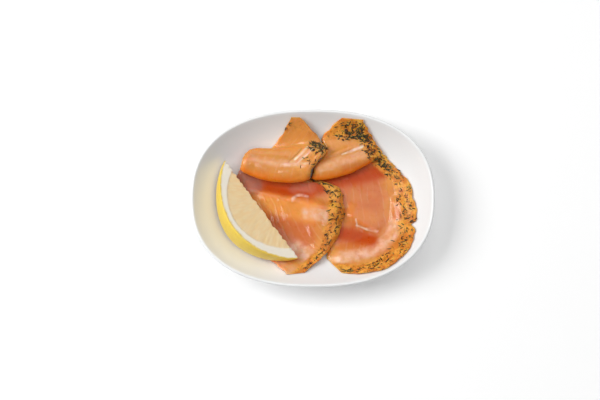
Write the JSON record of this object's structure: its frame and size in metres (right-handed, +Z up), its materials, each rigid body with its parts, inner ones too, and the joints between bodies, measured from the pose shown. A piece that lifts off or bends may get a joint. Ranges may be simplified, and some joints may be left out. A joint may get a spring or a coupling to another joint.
{
  "type": "gravlax slices on a dish",
  "caption": "Folded slices of dill-edged cured salmon with a lemon wedge, served in a shallow oval white porcelain dish.",
  "frame": {"origin": "on the table under the middle of the dish, at the plane of its foot ring", "axes": "+X along the dish's length, to the right of the eater; +Y across it, away from the eater; +Z up"},
  "size_m": [0.17, 0.125, 0.0329],
  "materials": {
    "porcelain": "gloss",
    "salmon": "gloss",
    "lemon": "satin",
    "dill": "matte"
  },
  "bodies": {
    "root": {"dish": "porcelain", "slice_right": "salmon", "slice_left": "salmon", "lemon_wedge": "lemon"}
  },
  "joints": []
}
